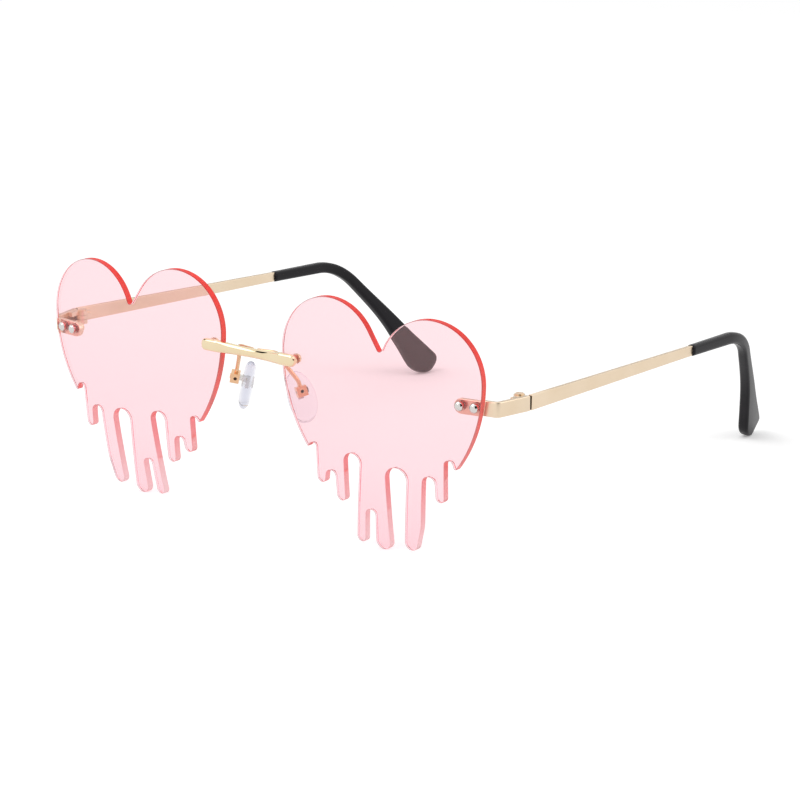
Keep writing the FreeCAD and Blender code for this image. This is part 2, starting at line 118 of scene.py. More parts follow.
# Bridge: a bar that runs into a flat plate on each lens
BAR_DROP = 0.5
PLATE_Z = LINE_Z + POST_RISE
BAR_Z = PLATE_Z - BAR_DROP
BAR_HALF, BAR_FRONT, BAR_BACK, BAR_ROUND_SHARE, BAR_STEPS = 1.1, 0.1, 2.0, 0.97, 40
PLATE_FRONT, PLATE_BACK, PLATE_ROUND_SHARE, PLATE_PLAY = 1.5, 0.38, 0.85, 0.02
PLATE_FROM, PLATE_END = 9.4, 13.8
PLATE_ROWS = (PLATE_FROM + 0.2, PLATE_FROM + 1.0, PLATE_FROM + 2.0)
PLATE_HALF, PLATE_CORNER, PLATE_RIM, PLATE_SOFT = 1.42, 1.25, 0.9, 0.8
BACK_POWER = 1.7
PLATE_TALL_SHARE, PLATE_DEEP_SHARE = 0.95, 0.98
CORNER_ANGLES = np.radians(np.concatenate([np.linspace(0, 70, 9), [78, 84, 88]]))

# Temple and its tip, along the temple from the hinge joint
TEMPLE_SPOT = (67.3904, 14.6482, 36.7068)
TEMPLE_IN, TEMPLE_DOWN = 2.5, 2.3
TEMPLE_AT = range(12, 61, 12)
TEMPLE_THIN, TEMPLE_END_HALF, TEMPLE_CORNER = 0.55, 1.2, 0.2
SLEEVE, SLEEVE_EDGE = 70.4, 0.02
CORE_LONG, CORE_HALF, CORE_X, CORE_CORNER, CORE_PLAY = 13.0, 0.7, 0.05, 0.1, 0.02
BEND_AT, BEND_ROUND = 95.6, 16.6
LEG_LONG, LEG_DOWN, LEG_IN = 43.19, 45.2, 21.7
# Tip: its reach to the front, the rear and each side, at shares of its length, and how each closes
TIP_ALONG = (0.0, 0.35, 0.47, 0.70, 0.82, 0.91, 0.96, 1.0)
TIP_FRONTS = (1.32, 1.40, 1.40, 2.05, 3.75, 5.15, 5.3, 5.3)
TIP_REARS = (1.32, 1.40, 1.42, 2.10, 2.35, 2.75, 2.95, 3.0)
TIP_SIDES = (1.12, 1.24, 1.29, 1.34, 1.36, 1.37, 1.37, 1.37)
TIP_ROUNDS = (7.5, 2.4, 2.0)
TIP_CORNER = 0.8
# Rows of the tip as shares of its length: the lip, how much it is drawn in, the run and the end
LIP_SHARES, LIP_IN = (0.0, 0.0015, 0.005), (0.3, 0.1, 0.0)
RUN_SHARES = np.linspace(0.012, 0.9, 66)
END_SHARES = 0.9 + 0.1 * np.sin(np.linspace(0.06, 1.56, 26))

# Nose pad and its wire arm
PAD_SPOT = (10.2, 6.7, LINE_Z - 4.7)
PAD_TURN, PAD_LEAN, PAD_SPLAY = 52.3, 11.3, 13.3
PAD_GAP, PAD_THICK, PAD_WIDE, PAD_TALL, PAD_BELOW = 1.6, 2.8, 7.2, 12.2, 1.6
PAD_EDGE_POWER, PAD_DOME_POWER, PAD_EGG_SHARE, PAD_RIM_SHARE = 0.42, 0.9, 0.1, 0.1
PAD_AROUND, PAD_ROWS, PAD_POLE = 64, 23, 0.02
WIRE = 0.47
ARM_START = (0.8, 1.8, BAR_Z + 0.6)
ARM_CREST = (6.2, 2.9, PLATE_Z + 0.1)
ARM_BEND = (7.4, 4.9, LINE_Z + 1.1)
ARM_SUNK = 0.2
BOX_HIGH = 2.4
BOSS_RADII = (0.6, 0.6, 0.54, 0.44, 0.38, 0.38)
BOSS_DEPTHS = (-1.05, -1.26, -1.33, -1.33, -1.27, -1.17)

# Edges that stay sharp, and for copies of CAD nodes doubles, flat faces, edges to round, and the rounding
SHARP = 30
DOUBLE, FLAT_ANGLE, EDGE_ANGLE, BEVEL_STEPS = 0.001, 0.5, 40, 3
LEAF_ROUND, SCREW_ROUND, BOX_ROUND = 0.08, 0.06, 0.22

FRONT_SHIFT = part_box("bridge")[0].y / MM + PLATE_FRONT


# Turning and placing

def turn_about(axis, deg):
    """Turn round the axis X, Y or Z as a 3 by 3 array."""
    cosine, sine = math.cos(math.radians(deg)), math.sin(math.radians(deg))
    round_x = np.array([[1, 0, 0], [0, cosine, -sine], [0, sine, cosine]])
    return np.roll(round_x, "XYZ".index(axis), (0, 1))


def placed(points, place):
    """Points turned and then moved: place is a turn and a spot."""
    return points @ place[0].T + np.array(place[1])


LENS_PLACE = (turn_about("Z", LENS_WRAP), (LENS_X, 0, LINE_Z))
TEMPLE_PLACE = (turn_about("Z", TEMPLE_IN) @ turn_about("X", -TEMPLE_DOWN), TEMPLE_SPOT)
PAD_PLACE = (turn_about("Z", PAD_TURN) @ turn_about("X", -PAD_LEAN) @ turn_about("Y", -PAD_SPLAY), PAD_SPOT)


def seat(u, v, rise=0.0):
    """Place on the front of the lens whose Y runs straight in: a swing about the ball's centre."""
    across, up = math.degrees(math.asin(u / LENS_BALL)), math.degrees(math.asin(v / LENS_BALL))
    swing = turn_about("Z", across) @ turn_about("X", -up)
    centre = np.array((0, LENS_BALL, 0))
    spot = centre - swing @ centre
    return LENS_PLACE[0] @ swing, placed(spot, LENS_PLACE) + np.array((0, 0, rise))


# Shells: a shell is an array of points and a list of face arrays

def unit(vectors):
    """Vectors, or one, made one long."""
    return vectors / np.linalg.norm(vectors, axis=-1, keepdims=True)


def once_round(count):
    """So many equal steps once round, as angles."""
    return np.linspace(0, 2 * math.pi, count, endpoint=False)


def outward(points, faces):
    """The faces, turned round if the sum of the tetrahedra from the origin to them is negative."""
    total = 0.0
    for face in faces:
        for second in range(1, face.shape[1] - 1):
            a, b, c = points[face[:, 0]], points[face[:, second]], points[face[:, second + 1]]
            total += np.einsum("ij,ij->", a, np.cross(b, c))
    return faces if total > 0 else [face[:, ::-1] for face in faces]


def facing(points, faces, ways):
    """The faces, turned round if on the whole they look against the ways, one for all or one for each."""
    a, b, c = points[faces[:, 0]], points[faces[:, 1]], points[faces[:, -1]]
    return faces if (np.cross(b - a, c - a) * ways).sum() > 0 else faces[:, ::-1]


def band_quads(index):
    """Quads between neighbouring rows of point numbers, where each row is a closed ring."""
    near, far = index[:-1], index[1:]
    return np.stack([near, np.roll(near, -1, 1), np.roll(far, -1, 1), far], -1).reshape(-1, 4)


def loft(rows):
    """Rings of points carried along a path: quads between rings, and a fan of triangles on each end."""
    count, around, _ = rows.shape
    index = np.arange(count * around).reshape(count, around)
    points = np.concatenate([rows.reshape(-1, 3), rows[:1].mean(1), rows[-1:].mean(1)])
    first = np.full(around, count * around)
    fan_a = np.stack([first, np.roll(index[0], -1), index[0]], -1)
    fan_b = np.stack([first + 1, index[-1], np.roll(index[-1], -1)], -1)
    return points, [band_quads(index), np.concatenate([fan_a, fan_b])]


def rounded_ring(half_a, half_b, radius, steps=7):
    """Rings round rectangles with round corners, four quarter circles of points, one ring for each value."""
    angle = np.concatenate([np.linspace(0, math.pi / 2, steps) + k * math.pi / 2 for k in range(4)])
    sign_a = np.repeat([1, -1, -1, 1], steps)
    sign_b = np.repeat([1, 1, -1, -1], steps)
    half_a, half_b, radius = [np.atleast_1d(n).astype(float)[:, None] for n in (half_a, half_b, radius)]
    return (sign_a * (half_a - radius) + radius * np.cos(angle),
            sign_b * (half_b - radius) + radius * np.sin(angle))


def spun(radii, alongs, around=32):
    """Rings of a profile of radius against depth, spun round the Y axis."""
    angle = once_round(around)
    radii, alongs = np.array(radii, float)[:, None], np.array(alongs, float)[:, None]
    return np.stack([radii * np.cos(angle), alongs + 0 * angle, radii * np.sin(angle)], -1)


def turned(radii, alongs, place):
    """A solid of a spun profile, closed at both ends, round the Y axis of a place."""
    points, faces = loft(spun(radii, alongs))
    return placed(points, place), faces


def smooth_through(at, spots, values):
    """A smooth curve through values: cubic runs whose slope at each spot is the mean of its two sides."""
    spots, values = np.array(spots, float), np.array(values, float)
    step = np.diff(spots)
    slope = np.diff(values) / step
    inner = (slope[:-1] * step[1:] + slope[1:] * step[:-1]) / (step[:-1] + step[1:])
    inner = np.where(slope[:-1] * slope[1:] <= 0, 0, inner)
    tangent = np.concatenate([slope[:1], inner, slope[-1:]])
    k = np.clip(np.searchsorted(spots, at) - 1, 0, len(step) - 1)
    t = (at - spots[k]) / step[k]
    return (values[k] * (1 + 2 * t) * (1 - t) ** 2 + values[k + 1] * t * t * (3 - 2 * t)
            + step[k] * (tangent[k] * t * (1 - t) ** 2 - tangent[k + 1] * t * t * (1 - t)))


def piece(name, shells, body, nodes, material, side=1, sharp=SHARP, marks=None):
    """A finished piece: shells joined, mirrored for the right side, with marks on its faces."""
    points, faces, start = [], [], 0
    for shell_points, shell_faces in shells:
        shell_points = shell_points * (side, 1, 1)
        faces += [face + start for face in outward(shell_points, shell_faces)]
        points.append(shell_points)
        start += len(shell_points)
    points = (np.concatenate(points) + (0, FRONT_SHIFT, 0)) * MM
    mesh = bpy.data.meshes.new(name)
    mesh.from_pydata(points.tolist(), [], [corners for face in faces for corners in face.tolist()])
    mesh.update()
    for key, values in (marks or {}).items():
        mesh.attributes.new(key, "FLOAT", "FACE").data.foreach_set("value", values.astype(np.float32))
    return shown(name, mesh, body, nodes, material, sharp)


def shown(name, mesh, body, nodes, material, sharp):
    """A mesh as an object that stands for CAD nodes and rides on their body, smooth but for sharp edges."""
    mesh.shade_smooth()
    mesh.set_sharp_from_angle(angle=math.radians(sharp))
    mesh.materials.clear()
    mesh.materials.append(material)
    made = bpy.data.objects.new(name, mesh)
    bpy.context.scene.collection.objects.link(made)
    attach(made, body)
    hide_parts(*nodes)
    return made


def softened(kind, side, body, material, wide):
    """A copy of a CAD node with its doubles merged, its flat faces joined and its edges rounded."""
    name, node = side + "_" + kind, kind + "_" + side
    work = bmesh.new()
    work.from_mesh(NODES[node].data)
    bmesh.ops.remove_doubles(work, verts=work.verts, dist=DOUBLE * MM)
    bmesh.ops.dissolve_limit(work, angle_limit=math.radians(FLAT_ANGLE), verts=work.verts, edges=work.edges)
    mesh = bpy.data.meshes.new(name)
    work.to_mesh(mesh)
    work.free()
    made = shown(name, mesh, body, [node], material, SHARP)
    bevel = made.modifiers.new("rounded edges", "BEVEL")
    bevel.width = wide * MM
    bevel.segments = BEVEL_STEPS
    bevel.limit_method = "ANGLE"
    bevel.angle_limit = math.radians(EDGE_ANGLE)
    bevel.harden_normals = True


# Materials

def linear(text):
    """An sRGB hex colour as linear red, green, blue and alpha."""
    srgb = [int(text[k:k + 2], 16) / 255 for k in (1, 3, 5)]
    return tuple(n / 12.92 if n <= 0.04045 else ((n + 0.055) / 1.055) ** 2.4 for n in srgb) + (1.0,)


def add(tree, kind, values=None, links=None, **settings):
    """One shader node with its settings, the values on its sockets and the links into it."""
    node = tree.nodes.new("ShaderNode" + kind)
    for key, value in settings.items():
        setattr(node, key, value)
    for key, value in (values or {}).items():
        node.inputs[key].default_value = value
    for key, source in (links or {}).items():
        tree.links.new(source, node.inputs[key])
    return node


def blank(name):
    """A new material with an output and the object's own coordinates."""
    made = bpy.data.materials.new(name)
    made.use_nodes = True
    made.node_tree.nodes.clear()
    tree = made.node_tree
    return made, tree, add(tree, "OutputMaterial"), add(tree, "TexCoord").outputs["Object"]


def colour_run(tree, along, *stops):
    """Colours along a value: each stop, a value and a hex colour, takes over from the one before it."""
    tone = None
    for (low, before), (high, after) in zip(stops, stops[1:]):
        rise = add(tree, "MapRange", {"From Min": low, "From Max": high}, {"Value": along})
        blend = add(tree, "Mix", {6: linear(before), 7: linear(after)}, {0: rise.outputs[0]},
                    data_type="RGBA")
        if tone:
            tree.links.new(tone, blend.inputs[6])
        tone = blend.outputs[2]
    return tone


def per_mm(size):
    """The scale of a pattern whose features are this many millimetres wide."""
    return 1 / (size * MM)


def see_through(tree, out, shader, shadow, dye, density):
    """A see-through body: its surface, the colour that its shadow lets by, and a dye that fills it."""
    let_by = add(tree, "BsdfTransparent", {"Color": linear(shadow)})
    ray = add(tree, "LightPath")
    both = add(tree, "MixShader", None,
               {0: ray.outputs["Is Shadow Ray"], 1: shader.outputs[0], 2: let_by.outputs[0]})
    fill = add(tree, "VolumeAbsorption", {"Color": linear(dye), "Density": density})
    tree.links.new(both.outputs[0], out.inputs["Surface"])
    tree.links.new(fill.outputs[0], out.inputs["Volume"])


def tinted_polycarbonate():
    """Pink polycarbonate, dyed through: polished faces, sawn edges.

    The dye takes green and blue a little at a time, so a face stays pale and an edge, which shows light
    that has come a long way inside the sheet, turns red. The saw leaves the edges and hole walls half
    matt, and the faces have a faint haze of the dye. A faint flow of the moulding shifts the gloss, and
    the faces turn a touch deeper pink towards the drips.
    """
    made, tree, out, place = blank("tinted polycarbonate")
    flow = add(tree, "TexNoise", {"Scale": per_mm(14), "Detail": 2.0}, {"Vector": place})
    gloss = add(tree, "MapRange", {"To Min": 0.0, "To Max": 0.012}, {"Value": flow.outputs["Fac"]})
    height = add(tree, "SeparateXYZ", None, {"Vector": place}).outputs["Z"]
    face = colour_run(tree, height, (48 * MM, "#FFFCFC"), (0.0, "#FBF2F4"))
    # Marks on the faces of the mesh, and whether a face is seen from outside the sheet
    edge = add(tree, "Attribute", attribute_name="cut_edge").outputs["Fac"]
    hole = add(tree, "Attribute", attribute_name="hole_wall").outputs["Fac"]
    bevel = add(tree, "Attribute", attribute_name="edge_bevel").outputs["Fac"]
    skin = add(tree, "NewGeometry")
    outside = add(tree, "Math", {0: 1.0}, {1: skin.outputs["Backfacing"]}, operation="SUBTRACT").outputs[0]
    rough = add(tree, "Math", {1: 0.12}, {0: edge, 2: gloss.outputs[0]}, operation="MULTIPLY_ADD")
    glass = add(tree, "BsdfPrincipled",
                {"Transmission Weight": 1.0, "IOR": 1.55, "Specular IOR Level": 0.02},
                {"Base Color": face, "Roughness": rough.outputs[0]})
    # Colour of the cut edge, redder higher up, with pale saw marks
    tall = add(tree, "MapRange", {"From Max": 56 * MM}, {"Value": height}).outputs[0]
    red = colour_run(tree, tall, (0.07, "#FFDADC"), (0.29, "#FF9E9E"), (0.64, "#FF766E"), (0.93, "#FF3E32"))
    saw = add(tree, "TexNoise", {"Scale": per_mm(0.8), "Detail": 3.0}, {"Vector": place})
    mark = add(tree, "MapRange", {"To Max": 0.16}, {"Value": saw.outputs["Fac"]})
    red = add(tree, "Mix", {7: linear("#FFC0BC")}, {0: mark.outputs[0], 6: red}, data_type="RGBA")
    # Colour of its bevel, with painted shade that greys it where it looks to -X, and of the hole walls
    line = colour_run(tree, tall, (0.07, "#FFD7DA"), (0.29, "#FEA7AB"), (0.64, "#D67D78"), (0.89, "#D93D3A"))
    look = add(tree, "SeparateXYZ", None, {"Vector": skin.outputs["Normal"]})
    painted_light_side = add(tree, "MapRange", {"From Min": -0.15, "From Max": 0.15}, {"Value": look.outputs["X"]})
    line = add(tree, "Mix", {6: linear("#C79C9F")}, {0: painted_light_side.outputs[0], 7: line}, data_type="RGBA")
    red = add(tree, "Mix", None, {0: bevel, 6: red.outputs[2], 7: line.outputs[2]}, data_type="RGBA")
    red = add(tree, "Mix", {7: linear("#FF2A20")}, {0: hole, 6: red.outputs[2]}, data_type="RGBA")
    matt = add(tree, "BsdfDiffuse", None, {"Color": red.outputs[2]})
    # Share of the matt finish
    sawn = add(tree, "Math", None, {0: edge, 1: outside}, operation="MULTIPLY")
    dull = add(tree, "Math", None, {0: sawn.outputs[0], 1: hole}, operation="MAXIMUM")
    share = add(tree, "MapRange", {"To Min": 0.7, "To Max": 0.8}, {"Value": bevel})
    haze = add(tree, "Math", {1: 0.03}, {0: outside}, operation="MULTIPLY")
    share = add(tree, "Math", None, {0: dull.outputs[0], 1: share.outputs[0], 2: haze.outputs[0]},
                operation="MULTIPLY_ADD")
    sheet = add(tree, "MixShader", None, {0: share.outputs[0], 1: glass.outputs[0], 2: matt.outputs[0]})
    see_through(tree, out, sheet, shadow="#FFFFFF", dye="#FE4988", density=140.0)
    return made


def champagne_gold(name, base, pale, rough, spread, grain, stretch, lift):
    """Champagne gold plating on metal: pale, warm reflections, drawn out along the grain of the polish.

    The colour drifts between two tones over a few millimetres, and the fine grain varies the gloss.
    Marked faces are painted dark brown: painted shade in the gap of a hinge joint and in the hole of the
    arm's boss.
    """
    made, tree, out, place = blank(name)
    drift = add(tree, "TexNoise", {"Scale": per_mm(9), "Detail": 2.0}, {"Vector": place})
    tone = colour_run(tree, drift.outputs["Fac"], (0, base), (1, pale))
    # Painted shade: marked faces turn dark brown
    end = add(tree, "Attribute", attribute_name="painted_shade")
    tone = add(tree, "Mix", {7: linear("#20150C")}, {0: end.outputs["Fac"], 6: tone}, data_type="RGBA")
    drawn = add(tree, "Mapping", {"Scale": stretch}, {"Vector": place})
    lines = add(tree, "TexNoise", {"Scale": per_mm(grain), "Detail": 4.0}, {"Vector": drawn.outputs[0]})
    gloss = add(tree, "MapRange", {"To Min": rough - spread, "To Max": rough + spread},
                {"Value": lines.outputs["Fac"]})
    bump = add(tree, "Bump", {"Strength": lift, "Distance": 0.02 * MM}, {"Height": lines.outputs["Fac"]})
    metal = add(tree, "BsdfPrincipled", {"Metallic": 1.0},
                {"Base Color": tone.outputs[2], "Roughness": gloss.outputs[0], "Normal": bump.outputs[0]})
    tree.links.new(metal.outputs[0], out.inputs["Surface"])
    return made


def turned_steel(name, dark, light):
    """Turned steel, bright nickel or painted dark brown for shade: clear reflections, faintly uneven turning.
    """
    made, tree, out, place = blank(name)
    uneven = add(tree, "TexNoise", {"Scale": per_mm(0.5), "Detail": 3.0}, {"Vector": place})
    tone = colour_run(tree, uneven.outputs["Fac"], (0, dark), (1, light))
    gloss = add(tree, "MapRange", {"To Min": 0.08, "To Max": 0.2}, {"Value": uneven.outputs["Fac"]})
    metal = add(tree, "BsdfPrincipled", {"Metallic": 1.0},
                {"Base Color": tone, "Roughness": gloss.outputs[0]})
    tree.links.new(metal.outputs[0], out.inputs["Surface"])
    return made


def black_acetate():
    """Moulded black acetate, tumbled smooth: near black, with a sheen that clouds over a few millimetres."""
    made, tree, out, place = blank("satin black acetate")
    cloud = add(tree, "TexNoise", {"Scale": per_mm(6), "Detail": 3.0}, {"Vector": place})
    tone = colour_run(tree, cloud.outputs["Fac"], (0, "#0C0A0F"), (1, "#151218"))
    skin = add(tree, "TexNoise", {"Scale": per_mm(2.5), "Detail": 3.0}, {"Vector": place})
    gloss = add(tree, "MapRange", {"To Min": 0.2, "To Max": 0.28}, {"Value": skin.outputs["Fac"]})
    plastic = add(tree, "BsdfPrincipled", {"IOR": 1.31},
                  {"Base Color": tone, "Roughness": gloss.outputs[0]})
    tree.links.new(plastic.outputs[0], out.inputs["Surface"])
    return made


def clear_plastic(name, low, high, rough, ior, density):
    """Clear moulded silicone or nylon: slightly clouded, cool grey where it is thick, and painted shade in
    cool grey at a marked rim.
    """
    made, tree, out, place = blank(name)
    cloud = add(tree, "TexNoise", {"Scale": per_mm(2.5), "Detail": 2.0}, {"Vector": place})
    tone = colour_run(tree, cloud.outputs["Fac"], (0, low), (1, high))
    # Painted shade: a marked rim turns cool grey, like the dark outline at a clear edge
    rim = add(tree, "Attribute", attribute_name="painted_rim_shade")
    tone = add(tree, "Mix", {7: linear("#E2E2EB")}, {0: rim.outputs["Fac"], 6: tone}, data_type="RGBA")
    gloss = add(tree, "MapRange", {"To Min": rough * 0.6, "To Max": rough * 1.4},
                {"Value": cloud.outputs["Fac"]})
    clear = add(tree, "BsdfPrincipled", {"Transmission Weight": 1.0, "IOR": ior},
                {"Base Color": tone.outputs[2], "Roughness": gloss.outputs[0]})
    see_through(tree, out, clear, shadow="#F3F3F6", dye="#8995BC", density=density)
    return made


LENS_TINT = tinted_polycarbonate()
POLISHED = champagne_gold("polished champagne gold", "#ECD6AC", "#F6E6C6", rough=0.07, spread=0.03,
                          grain=0.4, stretch=(0.25, 1, 1), lift=0.03)
ROSY = champagne_gold("rosy gold wire", "#E2B48A", "#EFC9A2", rough=0.16, spread=0.05,
                      grain=0.4, stretch=(1, 1, 0.25), lift=0.03)
SATIN = champagne_gold("satin champagne gold", "#E9D2B3", "#F4E1C8", rough=0.3, spread=0.06,
                       grain=0.3, stretch=(1, 0.08, 1), lift=0.1)
STEEL = turned_steel("bright nickel steel", "#CFCDCA", "#E6E4E0")
SHADE_DARK_STEEL = turned_steel("steel painted dark for shade", "#3A2A22", "#54403A")
ACETATE = black_acetate()
SILICONE = clear_plastic("clear silicone", "#F7F8FB", "#FCFCFE", rough=0.14, ior=1.22, density=17.0)
NYLON = clear_plastic("clear nylon", "#F4F1EE", "#FBF8F5", rough=0.12, ior=1.5, density=40.0)


# Lenses

def heart_belt():
    """The circles round the heart in millimetres, clockwise from the dip between the lobes."""
    outer, outer_up = OUTER_LOBE
    inner, inner_up = INNER_LOBE
    tooth, round_tooth = OUTER_TOOTH
    belt = [CUSP + (-1,), (outer, outer_up, HALF_SHARE - outer, 1)]
    middle = HALF_SHARE - OUTER_SIDE
    reach = math.sqrt((OUTER_SIDE - round_tooth) ** 2 - (outer_up - tooth) ** 2)
    belt += [(middle, outer_up, OUTER_SIDE, 1), (middle + reach, tooth, round_tooth, 1), *DRIPS]
    tooth, round_tooth = INNER_TOOTH
    middle = INNER_SIDE - HALF_SHARE
    reach = math.sqrt((INNER_SIDE - round_tooth) ** 2 - (inner_up - tooth) ** 2)
    belt += [(middle - reach, tooth, round_tooth, 1), (middle, inner_up, INNER_SIDE, 1)]
    belt.append((inner, inner_up, HALF_SHARE + inner, 1))
    return np.array(belt) * (LENS_WIDE, LENS_WIDE, LENS_WIDE, 1)


def heart_outline():
    """Points round the heart and the way out at each: arcs of the belt and the edges that touch them."""
    belt = heart_belt()
    ahead = np.roll(belt, -1, 0)
    reach = ahead[:, :2] - belt[:, :2]
    lean = (ahead[:, 3] * ahead[:, 2] - belt[:, 3] * belt[:, 2]) / np.hypot(reach[:, 0], reach[:, 1])
    way = np.arctan2(reach[:, 1], reach[:, 0]) + np.arcsin(np.clip(lean, -1, 1))
    right = np.stack([np.sin(way), -np.cos(way)], 1)
    leave = belt[:, :2] - (belt[:, 3] * belt[:, 2])[:, None] * right
    meet = np.roll(ahead[:, :2] - (ahead[:, 3] * ahead[:, 2])[:, None] * right, 1, 0)
    first = np.arctan2(meet[:, 1] - belt[:, 1], meet[:, 0] - belt[:, 0])
    last = np.arctan2(leave[:, 1] - belt[:, 1], leave[:, 0] - belt[:, 0])
    sweep = (belt[:, 3] * (first - last)) % (2 * math.pi)
    points, normals = [], []
    for k, (u, v, r, turn) in enumerate(belt):
        step = np.clip(ARC_STEP / r, math.radians(LEAST_TURN), math.radians(MOST_TURN))
        angle = first[k] - turn * np.linspace(0, sweep[k], int(sweep[k] / step) + 2)
        ray = np.stack([np.cos(angle), np.sin(angle)], 1)
        points.append(np.array([u, v]) + r * ray)
        normals.append(turn * ray)
        run = np.roll(meet, -1, 0)[k] - leave[k]
        share = np.linspace(0, 1, int(np.hypot(*run) / RUN_STEP) + 2)[1:-1, None]
        points.append(leave[k] + share * run)
        normals.append(np.repeat(-right[k:k + 1], len(share), 0))
    points, normals = np.concatenate(points), np.concatenate(normals)
    apart = np.hypot(*(points - np.roll(points, 1, 0)).T) > SAME_POINT
    return points[apart], normals[apart]


def on_sheet(flat, depth):
    """Flat lens points lifted on to the ball: depth 0 is the front of the sheet and 1 its back."""
    ball = LENS_BALL - depth * LENS_THICK
    up = LENS_BALL - np.sqrt(ball ** 2 - (flat ** 2).sum(-1))
    return np.stack([flat[..., 0], up, flat[..., 1]], -1)


def inside(flat, ring):
    """Whether flat points are in a ring: an odd number of ring edges lies to their right."""
    a, b = ring, np.roll(ring, -1, 0)
    x, y = flat[:, :1], flat[:, 1:]
    spans = (a[:, 1] > y) != (b[:, 1] > y)
    rise = np.where(b[:, 1] == a[:, 1], 1, b[:, 1] - a[:, 1])
    cross = a[:, 0] + (y - a[:, 1]) / rise * (b[:, 0] - a[:, 0])
    return (spans & (x < cross)).sum(1) % 2 == 1


def nearest(points, spots):
    """How far each point is from the nearest of the spots."""
    return np.sqrt(((points[:, None] - spots[None]) ** 2).sum(-1)).min(1)


def hole_centres(depth):
    """Flat centres of the three holes at a depth: straight lines square to the front of the sheet."""
    lean = math.asin(EAR_U / LENS_BALL)
    sunk = depth * LENS_THICK
    ears = [(EAR_U + x * math.cos(lean) - sunk * math.sin(lean), EAR_RISE) for x in EAR_PAIR]
    post = (POST_U - sunk * POST_U / LENS_BALL, POST_RISE - sunk * POST_RISE / LENS_BALL)
    return np.array(ears + [post])


def lens_face(rim, grid, depth):
    """Flat points of one face, its rim, its hole rings and its grid, the rings' numbers and the triangles.

    The triangles are a Delaunay fill that keeps the rim and the rings as edges, less those in the holes.
    """
    centres = hole_centres(depth)
    angle = once_round(HOLE_POINTS)
    circle = HOLE * np.stack([np.cos(angle), np.sin(angle)], 1)
    rings = (centres[:, None] + circle[None]).reshape(-1, 2)
    flat = np.concatenate([rim, rings, grid[nearest(grid, centres) > HOLE + GRID_FROM_HOLE]])
    holes = len(rim) + np.arange(len(rings)).reshape(-1, HOLE_POINTS)
    kept = [np.stack([ring, np.roll(ring, -1)], 1) for ring in (np.arange(len(rim)), *holes)]
    found = delaunay_2d_cdt(flat.tolist(), np.concatenate(kept).tolist(), [], 1, SAME_FLAT)
    source = np.array([origin[0] if origin else -1 for origin in found[3]])
    filled = source[np.array(found[2])]
    return flat, holes, filled[nearest(flat[filled].mean(1), centres) > HOLE]


def lens_shell():
    """A heart cut from a ball: rows carried round its edge, two filled faces and three holes, and marks.

    The marks are one on the cut edge, on its bevel and on the walls of the holes, else nought.
    """
    outline, normal = heart_outline()
    around = len(outline)
    soft = BEVEL_ROUND_SHARE * LENS_BEVEL
    insets = np.array([LENS_BEVEL, soft, 0, 0, 0, soft, LENS_BEVEL])
    sunk = np.array([0, soft, LENS_BEVEL]) / LENS_THICK
    depths = np.concatenate([sunk, [0.5], 1 - sunk[::-1]])
    edge = np.stack([on_sheet(outline - inset * normal, depth) for inset, depth in zip(insets, depths)])
    index = np.arange(edge.size // 3).reshape(len(insets), around)
    rim = outline - LENS_BEVEL * normal
    grid = np.meshgrid(np.arange(*GRID_ACROSS, GRID_STEP), np.arange(*GRID_UP, GRID_STEP))
    grid = np.stack(grid, -1).reshape(-1, 2)
    grid = grid[inside(grid, rim)]
    grid = grid[nearest(grid, rim) > GRID_FROM_RIM]
    points, triangles, hole_rows, total = [edge.reshape(-1, 3)], [], [], index.size
    for depth, row in ((0, index[0]), (1, index[-1])):
        flat, holes, filled = lens_face(rim, grid, depth)
        rows = np.concatenate([row, total + np.arange(len(flat) - around)])
        points.append(on_sheet(flat[around:], depth))
        triangles.append(rows[filled])
        hole_rows.append(rows[holes])
        total += len(flat) - around
    points = np.concatenate(points)
    quads = band_quads(index)
    out = normal[quads[:, 0] % around]
    quads = facing(points, quads, np.stack([out[:, 0], 0 * out[:, 0], out[:, 1]], 1))
    triangles = [facing(points, face, (0, way, 0)) for face, way in zip(triangles, (-1, 1))]
    walls = np.concatenate([band_quads(np.stack(pair)) for pair in zip(*hole_rows)])
    ring = points[hole_rows[0]]
    walls = facing(points, walls, (ring.mean(1, keepdims=True) - ring).reshape(-1, 3))
    kinds = np.repeat([0, 1, 2], [len(quads), sum(map(len, triangles)), len(walls)])
    bevel = np.zeros(len(kinds), bool)
    bevel[:len(quads)] = np.repeat([1, 1, 0, 0, 1, 1], around)
    marks = {"cut_edge": kinds == 0, "edge_bevel": bevel, "hole_wall": kinds == 2}
    return (placed(points, LENS_PLACE), [quads, *triangles, walls]), marks


lens, lens_marks = lens_shell()
for side, sign in SIDES.items():
    piece(side + "_lens", [lens], "front", ["lens_" + side], LENS_TINT, sign,
          sharp=16, marks=lens_marks)


# Screws and nuts in the lenses

def dome_screw(place, depth):
    """A low round head, spun from a circle's arc, on a straight shank that ends in a small chamfer."""
    ball = (HEAD ** 2 + HEAD_HIGH ** 2) / (2 * HEAD_HIGH)
    angle = np.linspace(DOME_START, math.asin(HEAD / ball) * DOME_SHARE, DOME_STEPS)
    radii = [*(ball * np.sin(angle)), HEAD, HEAD, SHANK, SHANK, SHANK - SHANK_CHAMFER]
    dome = ball - HEAD_HIGH - ball * np.cos(angle)
    return turned(radii, [*dome, -HEAD_EDGE, 0.0, 0.0, depth - SHANK_CHAMFER, depth], place)


